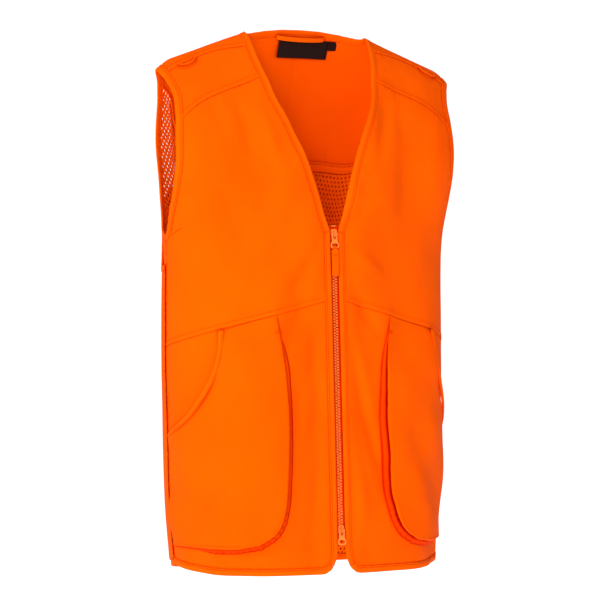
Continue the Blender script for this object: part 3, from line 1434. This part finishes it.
def slider_piece(name, at, sign):
    """Slider with a rounded front and back plate, side walls and the arched bridge for its puller."""
    half, wide = SLIDER_LENGTH / 2, SLIDER_HALF_WIDTH
    right = (
        (0.0016, half), (0.0034, half - 0.0004), (wide - 0.0002, half - 0.0019), (wide, half - 0.0040),
        (wide - 0.0003, -0.0020), (wide - 0.0009, -half + 0.0012), (wide - 0.0018, -half),
    )
    outline = [(x, z * sign) for x, z in right] + [(-x, z * sign) for x, z in right[::-1]]
    outline = softened(outline[::sign])
    high = -CHAIN_LEVEL + CHAIN_THICKNESS / 2 + RUNNING_GAP
    low = -CHAIN_LEVEL - CHAIN_THICKNESS / 2 - RUNNING_GAP
    front, back = (
        plate(f"{name}_{face}", [outline], SLIDER_WALL, 0.0003, zip_frame(at, out))
        for face, out in (("front", high + SLIDER_WALL / 2), ("back", low - SLIDER_WALL / 2))
    )
    shapes = []
    for side in (-1, 1):
        for level, out in ((high, -1), (low, 1)):
            points, faces = rounded_box((0.0009, 0.0009, SLIDER_LENGTH * 0.72), 0.0003)
            points = points + np.array([side * (wide - 0.0006), 0, 0.0006 * sign])
            shapes.append((placed(points, zip_frame(at, level + out * 0.00015)), faces))
    points, faces = rounded_box((0.0009, high - low + 0.0008, 0.0028), 0.0002)
    points = points + np.array([0, 0, sign * (half - 0.0015)])
    shapes.append((placed(points, zip_frame(at, -CHAIN_LEVEL)), faces))
    ribs = several(name + "_ribs", shapes, salmon)
    top = BRIDGE_TOP
    arch = np.array([
        (-0.0030, high + 0.0002), (-0.0029, high + 0.0013), (-0.0024, top - 0.0010),
        (-0.0014, top - 0.0005), (0.0000, top - 0.00045), (0.0022, top - 0.00045),
        (0.0038, top - 0.0006), (0.0047, top - 0.0012), (0.0050, high + 0.0013),
        (0.0051, high + 0.0002),
    ])
    local = np.stack([np.zeros(len(arch)), -arch[:, 1], -arch[:, 0]], axis=1)
    verts, faces = loft(tube(placed(local, zip_frame(at)), (1, 0, 0), 0.0009, 0.00045))
    bridge = finish_mesh(name + "_bridge", verts, faces, salmon)
    made = joined(name + "_moulding", [front, back, ribs, bridge])
    return on(made, name, "zip_plastic", name)


PULL_EDGE = (
    (0.0030, 0.0006), (0.0042, 0.0002), (0.0043, -0.0012), (0.0041, -0.0050), (0.0038, -0.0095),
    (0.0044, -0.0122), (0.0060, -0.0148), (0.0063, -0.0170), (0.0060, -0.0190), (0.0045, -0.0209),
    (0.0020, -0.0211),
)


def puller_piece(name, at):
    """A moulded puller: a forked neck with a slot round the bridge, and an oval eye below."""
    outline = [(-x, z) for x, z in PULL_EDGE] + [(x, z) for x, z in PULL_EDGE[::-1]]
    slot_edge = [(-0.0023, -0.0007), (-0.0021, -0.0088), (0.0021, -0.0088), (0.0023, -0.0007)]
    eye = [(-0.0030, -0.0141), (-0.0043, -0.0155), (-0.0043, -0.0176), (-0.0030, -0.0190)]
    eye = eye + [(-x, z) for x, z in eye[::-1]]
    loops = [softened(outline), softened(slot_edge), softened(eye)]
    made = plate(name + "_moulding", loops, 0.0013, 0.0004, zip_frame(at, PULL_AXIS_OUT))
    return on(made, name, "zip_plastic", name + "er")


TAB_WIDE = 0.0050
TAB_NECK = 0.0027
TAB_LONG = 0.0380
TAB_SEAM = 0.0095
TAB_SQUARE = 5
TAB_TIP = 0.002


def tab_bow(down):
    """How far the hanging tab curves out of the chest."""
    return 0.0005 * math.sin(down * 120 - 0.6) * smooth((down - 0.004) / 0.02)


def pull_tab_piece():
    """A strap folded over the puller's eye bar and sewn flat, with a stitched line under the fold."""
    hang = zip_frame(TOP_SLIDER_AT + PULL_LENGTH, PULL_AXIS_OUT)
    downs = np.concatenate([
        np.linspace(0.0015, 0.0045, 7), np.linspace(0.0055, TAB_SEAM - 0.0006, 6),
        [TAB_SEAM, TAB_SEAM + 0.0006], np.linspace(0.011, TAB_LONG - TAB_TIP, 22),
        TAB_LONG - TAB_TIP * (1 - np.sin(np.radians([30, 60, 80, 90]))),
    ])
    turns = np.linspace(0, 2 * math.pi, 36, endpoint=False)
    radius = squared(np.sin(turns), np.cos(turns), TAB_SQUARE)
    faces_out = np.sign([math.sin(turn) for turn in turns])
    rings, uvs = [], []
    for down in downs:
        end = np.clip((TAB_LONG - down) / TAB_TIP, 0, 1)
        rounding = math.sqrt(1 - (1 - end) ** 2)
        wide = TAB_NECK + (TAB_WIDE - TAB_NECK) * smooth((down - 0.0018) / 0.0022)
        wide -= 0.0014 * (1 - rounding)
        thick = 0.0009 + 0.0011 * (1 - smooth((down - 0.002) / 0.0035))
        thick += 0.00035 * (down < TAB_SEAM)
        thick *= (1 - 0.55 * bell(down - TAB_SEAM, 0.0007)) * (0.45 + 0.55 * rounding)
        x, out = wide * np.cos(turns) * radius, thick * np.sin(turns) * radius
        inward = np.abs(x) - wide
        rim = bell(inward + 0.0009, 0.0005) - bell(inward + 0.0017, 0.0003)
        y = -(out + 0.00022 * rim * faces_out + tab_bow(down))
        rings.append(placed(np.stack([x, y, np.full_like(x, -down)], axis=1), hang))
        uvs.append(np.stack([x, down + 0.02 * (y > 0)], axis=1))
    verts, faces = loft(rings)
    strap = finish_mesh("pull_tab_strap", verts, faces, tape_orange, np.reshape(uvs, (-1, 2)))
    turns = np.linspace(0, 2 * math.pi, 25)[:-1]
    round_bar = np.stack([0 * turns, -np.cos(turns), np.sin(turns)], axis=1)
    sleeve_rings, inner_rings = [], []
    for x in np.linspace(-TAB_NECK, TAB_NECK, 9):
        radius = 0.0021 - 0.00025 * (1 - math.sqrt(max(1 - (x / 0.00275) ** 4, 0)))
        sleeve_rings.append(round_bar * radius + np.array([x, 0, 0]))
        inner_rings.append(round_bar * radius * 0.64 + np.array([x, 0, 0]))
    whole = sleeve_rings + inner_rings[::-1] + [sleeve_rings[0]]
    verts, faces = loft([placed(ring, hang) for ring in whole], capped=False)
    uvs = np.zeros((len(verts), 2))
    sleeve = finish_mesh("pull_tab_sleeve", verts, turned(faces, -1), tape_orange, uvs, 1e-6)
    for obj in (strap, sleeve):
        on(obj, "pull_tab", "orange_cloth")
    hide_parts("pull_tab")
    x, high, low = TAB_WIDE - 0.0017, TAB_SEAM + 0.002, TAB_LONG - 0.0022
    across = TAB_WIDE - 0.0012
    rings = []
    for start, end in (
        ((-x, high), (-x, low)), ((x, high), (x, low)), ((-across, TAB_SEAM), (across, TAB_SEAM))
    ):
        rings += flat_row(start, end, hang, (0.0021, 0.15), lambda d: 0.0009 + tab_bow(d), 0.0002)
    on(stitching("pull_tab_stitches", [np.array(rings)], thread_orange), "pull_tab", "orange_cloth")


def flat_row(start, end, matrix, spacing, out_at, radius):
    """Stitches on a flat piece, in that piece's frame: x across, d down, out of the chest."""
    start, end = np.array(start), np.array(end)
    pitch, gap = spacing
    count = int(np.linalg.norm(end - start) / pitch)
    x, d = unit(end - start)
    side, normal = np.array([-d, 0.0, -x]), np.array([0, -1.0, 0])
    made = []
    for k in range(count):
        first, last = (start + (end - start) * (k + share) / count for share in (gap, 1 - gap))
        rings = []
        for share, rise, size in STITCH:
            x, d = first + (last - first) * share
            centre = np.array([x, -(out_at(d) + rise * radius), -d])
            rings.append(placed(thread_ring(centre, side, normal, radius * size), matrix))
        made.append(rings)
    return made


# ---- loops and labels ----
SHOULDER_LOOP_AT = (0.181, 0.6865)
SHOULDER_LOOP_HALF = 0.0130
SHOULDER_LOOP_DROP = 0.0090
LOOP_CORD_RADIUS = 0.0014
LOOP_CLEAR = 0.0007
LOOP_STANDOFF = math.radians(14)
HANGER_HALF_SPAN = 0.0360
HANGER_BOW = 0.0090
HANGER_WIDTH = 0.0060
HANGER_LEAN = math.radians(25)
HANGER_PLACE = np.array([0, 0.0165, 0.7290])
LABEL_PLACE = np.array([0.0075, 0.0230, 0.7112])
LABEL_TILT = math.radians(26)
LABEL_SIZE = (0.0750, 0.0270)
LABEL_GRID = (64, 26)
LABEL_THICKNESS = 0.0007
LABEL_STITCH_IN = 0.0020
SIZE_TAB = (0.0130, 0.0135)
SIZE_TAB_SHIFT = np.array([0.0420, -0.0045, 0.0030])
# How far each label is moved from its place in the part, onto the yoke's cloth.
LABEL_SEWN = np.array([0.0, 0.0008, 0.0032])
TAB_SEWN = np.array([0.0020, 0.0013, 0.0060])


def shoulder_loop_piece(side, sign):
    """A D of twisted cord sewn into the forward seam."""
    here = at_distance(*SHOULDER_LOOP_AT)
    by_angle, by_level = slopes(*here)
    normal = outward(*here)
    middle = int(np.argmin(np.abs(lines.forward[:, 0] - here[0])))
    along = lines.forward[middle + 1] - lines.forward[middle]
    tangent = unit(by_angle * along[0] + by_level * along[1])
    down = np.cross(tangent, normal)
    down *= -np.sign(down[2])
    hang = down * math.cos(LOOP_STANDOFF) + normal * math.sin(LOOP_STANDOFF)
    start = body(*here) + normal * (CLOTH / 2 + LOOP_CORD_RADIUS + LOOP_CLEAR)
    turns = np.linspace(-0.05, math.pi + 0.05, 70)
    sine = np.sin(turns)
    path = start + np.outer(np.cos(turns) * SHOULDER_LOOP_HALF, tangent)
    path = path + np.outer(np.sign(sine) * np.abs(sine) ** 0.8 * SHOULDER_LOOP_DROP, hang)
    flat = unit(np.cross(tangent, hang))
    rings = []
    around = np.linspace(0, 2 * math.pi, 19)[:-1]
    for point, direction, far in zip(path, np.gradient(path, axis=0), running(path, 0)):
        out = unit(np.cross(flat, direction))
        strands = 0.80 + 0.22 * np.abs(np.cos(1.5 * (around + far * 1500)))
        reach = LOOP_CORD_RADIUS * strands
        ring = np.outer(np.cos(around) * reach, out) + np.outer(np.sin(around) * reach * 0.8, flat)
        rings.append(point + ring)
    verts, faces = loft(np.array(rings) * np.array([sign, 1, 1]) - NAPE)
    made = finish_mesh(f"shoulder_cord_{side}", verts, turned(faces, sign), thread_orange)
    return on(made, f"shoulder_loop_{side}", "orange_cloth", f"shoulder_loop_{side}")


def hanger_piece():
    """A band with corded edges that bows out under the nape."""
    edge = ((-0.5, 0.25), (-0.47, 0.5), (-0.38, 0.62), (-0.30, 0.42))
    cross = edge + tuple((-w, t) for w, t in edge[::-1])
    section = cross + tuple((w, -t) for w, t in cross[::-1])
    rings, uvs = [], []
    lean = HANGER_LEAN
    sag = np.array([0, -math.cos(lean), -math.sin(lean)])
    rise = np.array([0, -math.sin(lean), math.cos(lean)])
    for turn in np.linspace(0, math.pi, 60):
        centre = HANGER_PLACE + np.array([HANGER_HALF_SPAN * math.cos(turn), 0, 0])
        centre = centre + sag * HANGER_BOW * math.sin(turn)
        wide = HANGER_WIDTH * (1 + 0.03 * math.sin(turn * 23))
        rings.append([centre + rise * w * wide + sag * t * 0.0010 for w, t in section])
        uvs.append([(turn * 0.03, w * wide + (t < 0) * 0.02) for w, t in section])
    verts, faces = loft(np.array(rings) - NAPE)
    made = finish_mesh("hanger_band", verts, faces, tape_orange, np.reshape(uvs, (-1, 2)))
    return on(made, "hanger_loop", "orange_cloth", "hanger_loop")


def label_piece(name, node, size, centre, seed):
    """A blank satin label with a slight wave and a row of stitches round its border."""
    wide, tall = size
    columns, rows = LABEL_GRID
    wave = make_waves(seed, 8, 0.05, 0.0)
    s, t = np.linspace(-0.5, 0.5, columns), np.linspace(-0.5, 0.5, rows)
    x, z = np.meshgrid(s * wide, t * tall)
    out = 0.00022 * waves(np.stack([x, z, np.zeros_like(x)], axis=-1), wave)
    edge = np.minimum(wide / 2 - np.abs(x), tall / 2 - np.abs(z))
    out -= 0.00035 * bell(edge, 0.0007) + 0.00020 * bell(edge - LABEL_STITCH_IN, 0.0004)
    place = Matrix.Translation(Vector(centre - NAPE)) @ Matrix.Rotation(LABEL_TILT, 4, "X")
    points = placed(np.stack([x, -out, z], axis=-1).reshape(-1, 3), place)
    uv = np.stack([x, z], axis=-1).reshape(-1, 2)
    made = finish_mesh(name, points, grid_faces(rows, columns), black_satin, uv)
    thicken(made, LABEL_THICKNESS)
    on(made, "shell", "label_black", node)
    x, d = wide / 2 - LABEL_STITCH_IN, tall / 2 - LABEL_STITCH_IN
    rings = []
    corners = [(-x, d), (x, d), (x, -d), (-x, -d)]
    for start, end in zip(corners, corners[1:] + corners[:1]):
        rings += flat_row(start, end, place, (0.0024, 0.2), lambda d: 0.0004, 0.00018)
    on(stitching(name + "_stitches", [np.array(rings)], black_thread), "shell", "label_black")
    return made


# ---- putting the vest together ----
panels, allowances = {}, {}
for side, sign, flip in SIDES:
    panels["lower_" + side], panels["chest_" + side], panels["yoke_" + side] = front_panels(side, flip)
panels["back_yoke"] = back_yoke()
panels["net"] = net_back()
panels["game"], panels["game_edge"] = game_pocket()
panels["seam_tape"] = seam_tape()
edges = shell_bindings()
shell_threads = shell_stitches()

for side, sign, flip in SIDES:
    # Seam allowances inside, behind the waist, yoke and forward seams.
    for name, line in (("waist", lines.waist[:-8]), ("yoke", lines.yoke), ("forward", lines.forward)):
        allowances[name + side] = allowance(f"allowance_{name}_{side}", line, flip)

pockets = {}
for side, sign, flip in SIDES:
    made = Pocket(side, sign, flip)
    pockets[side] = made
    made.face_object = made.face()
    made.edge_object = made.hand_edge()
    made.gusset_object = made.gusset()
    made.thread_object = made.sew()
    made.tack_object = made.tacks()

for side, sign, flip in SIDES:
    zip_teeth(side, sign)
    zip_ends(side, sign)
    zip_tape_piece(side, sign)
    shoulder_loop_piece(side, sign)
slider_piece("top_slider", TOP_SLIDER_AT, 1)
slider_piece("bottom_slider", BOTTOM_SLIDER_AT, -1)
puller_piece("top_pull", TOP_SLIDER_AT)
puller_piece("bottom_pull", BOTTOM_SLIDER_AT)
pull_tab_piece()
hanger_piece()
label_at, tab_at = LABEL_PLACE + LABEL_SEWN, LABEL_PLACE + SIZE_TAB_SHIFT + TAB_SEWN
neck_label = label_piece("blank_neck_label", "neck_label", LABEL_SIZE, label_at, 31)
size_tab = label_piece("blank_size_tab", "size_label", SIZE_TAB, tab_at, 32)


# ---- every sheet of cloth, with the size that it was cut to ----
for side, sign, flip in SIDES:
    made = pockets[side]


# ---- studio: floor, light and camera ----
FLOOR_LEVEL = -1.16
FLOOR_GLOW = 0.95
BACKDROP_LIGHT = 0.17
BACKDROP_SEEN = 1.08
bpy.ops.mesh.primitive_plane_add(size=16, location=(0, 0, FLOOR_LEVEL))
floor = bpy.context.active_object
floor.name = "studio_floor"
floor_look, _, _, floor_shader = node_material("studio_white")
floor_shader.inputs["Base Color"].default_value = (0.93, 0.93, 0.93, 1)
floor_shader.inputs["Roughness"].default_value = 0.95
floor_shader.inputs["Specular IOR Level"].default_value = 0.0
floor_shader.inputs["Emission Color"].default_value = (1, 1, 1, 1)
floor_shader.inputs["Emission Strength"].default_value = FLOOR_GLOW
floor.data.materials.append(floor_look)

world = bpy.data.worlds.new("studio")
bpy.context.scene.world = world
world.use_nodes = True
sky = world.node_tree.nodes["Background"]
sky.inputs["Color"].default_value = (1.0, 1.0, 1.0, 1)
# The backdrop is seen brighter than it lights, like a studio backdrop with its own lamps.
ray = world.node_tree.nodes.new("ShaderNodeLightPath")
level = world.node_tree.nodes.new("ShaderNodeMapRange")
level.inputs["To Min"].default_value = BACKDROP_LIGHT
level.inputs["To Max"].default_value = BACKDROP_SEEN
world.node_tree.links.new(ray.outputs["Is Camera Ray"], level.inputs["Value"])
world.node_tree.links.new(level.outputs["Result"], sky.inputs["Strength"])


LIGHT_AIM = Vector((0, 0, -0.36))


def soft_light(name, place, size, power):
    data = bpy.data.lights.new(name, "AREA")
    data.shape = "RECTANGLE"
    data.size, data.size_y = size
    data.energy = power
    lamp = in_scene(name, data)
    lamp.location = place
    lamp.rotation_euler = (LIGHT_AIM - Vector(place)).to_track_quat("-Z", "Y").to_euler()


soft_light("key", (-2.5, -1.0, 1.2), (0.6, 0.8), 34)
soft_light("front", (-1.9, -2.8, 0.6), (1.0, 1.2), 72)
soft_light("fill", (2.3, -1.5, 0.5), (0.9, 1.4), 2)
soft_light("top", (0, -0.5, 1.7), (1.2, 0.9), 8)
soft_light("rear", (1.8, 2.8, 1.0), (1.2, 1.4), 45)

AZIMUTH = math.radians(-24.3)
ELEVATION = math.radians(-0.2)
DISTANCE = 3.21
LENS = 138.2
TARGET = Vector((0, 0, -0.375))
IMAGE_SIZE = 606
SHIFT_PIXELS = (-1.9, 4.0)
flat = math.cos(ELEVATION)
back = Vector((math.sin(AZIMUTH) * flat, -math.cos(AZIMUTH) * flat, math.sin(ELEVATION)))
camera_data = bpy.data.cameras.new("photo_view")
camera_data.lens = LENS
camera_data.sensor_width = 36.0
camera_data.shift_x, camera_data.shift_y = (shift / IMAGE_SIZE for shift in SHIFT_PIXELS)
camera_data.clip_end = 60
camera = in_scene("photo_view", camera_data)
camera.location = TARGET + back * DISTANCE
camera.rotation_euler = (-back).to_track_quat("-Z", "Y").to_euler()
bpy.context.scene.camera = camera
bpy.context.scene.view_settings.view_transform = "Standard"
